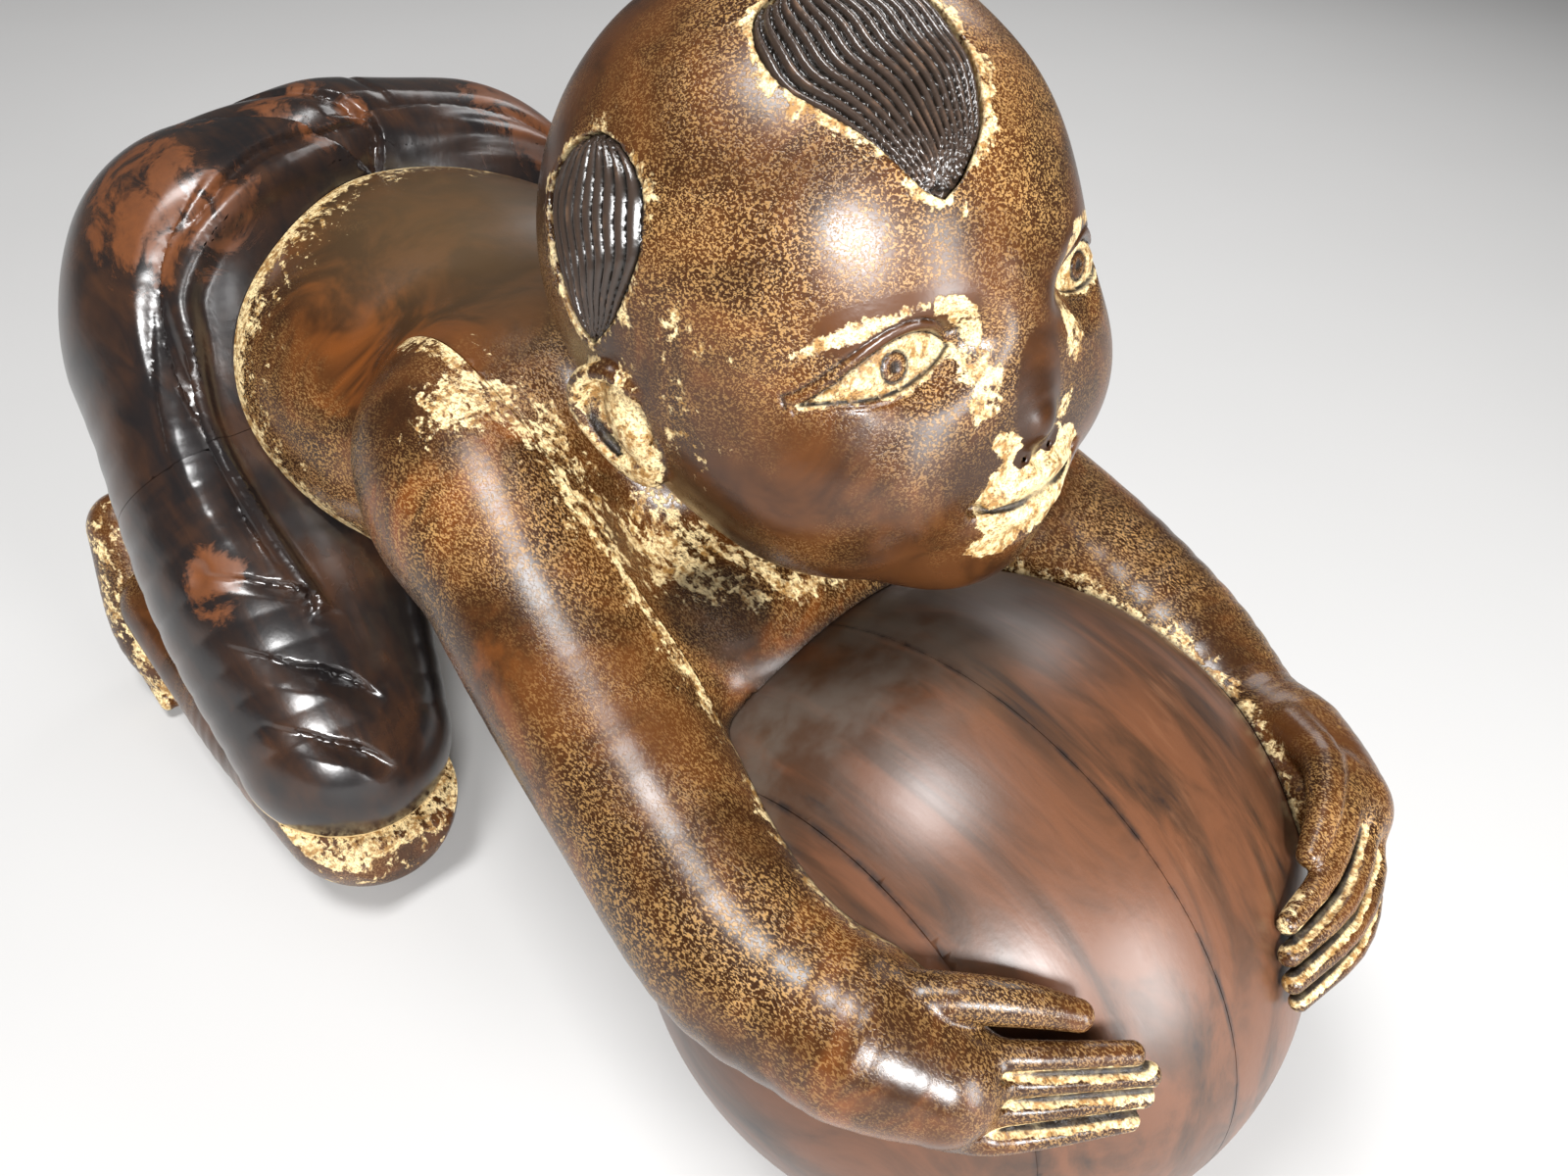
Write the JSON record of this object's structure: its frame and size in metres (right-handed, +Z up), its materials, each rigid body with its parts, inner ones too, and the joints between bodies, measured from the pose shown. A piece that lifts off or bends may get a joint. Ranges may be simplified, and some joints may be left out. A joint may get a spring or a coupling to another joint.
{
  "type": "carved kneeling child figure",
  "caption": "Carved and lacquered wooden child on its knees, leaning forward to hug a large round ball; a floor-standing ornament.",
  "frame": {"origin": "on the floor, under the middle of the bounding box", "axes": "+Z up; the child faces -Y, its left is +X, the ball is at the -Y end"},
  "size_m": [0.4613, 0.8766, 0.5728],
  "materials": {
    "gilt_skin": "brown lacquer rubbed through to worn gilding, semi-gloss",
    "trouser_lacquer": "near-black brown lacquer, satin, worn to orange brown",
    "ball_wood": "red-brown polished wood with dark streaks",
    "hair_lacquer": "black-brown lacquer over carved grooves, semi-gloss",
    "peg_wood": "bare, hidden"
  },
  "bodies": {
    "root": {"arm_left": "gilt_skin", "arm_right": "gilt_skin", "ball_cheek_left": "ball_wood", "ball_cheek_right": "ball_wood", "ball_middle_left": "ball_wood", "ball_middle_right": "ball_wood", "foot_left": "gilt_skin", "foot_right": "gilt_skin", "hair_front": "hair_lacquer", "hair_left": "hair_lacquer", "hair_right": "hair_lacquer", "head": "gilt_skin", "hips": "trouser_lacquer", "peg_ball_left": "peg_wood", "peg_ball_middle": "peg_wood", "peg_ball_right": "peg_wood", "peg_knee_left": "peg_wood", "peg_knee_right": "peg_wood", "peg_neck": "peg_wood", "peg_shoulder_left": "peg_wood", "peg_shoulder_right": "peg_wood", "peg_thigh_left": "peg_wood", "peg_thigh_right": "peg_wood", "peg_waist_left": "peg_wood", "peg_waist_right": "peg_wood", "shin_left": "gilt_skin", "shin_right": "gilt_skin", "torso": "gilt_skin", "trouser_leg_left": "trouser_lacquer", "trouser_leg_right": "trouser_lacquer"}
  },
  "joints": []
}
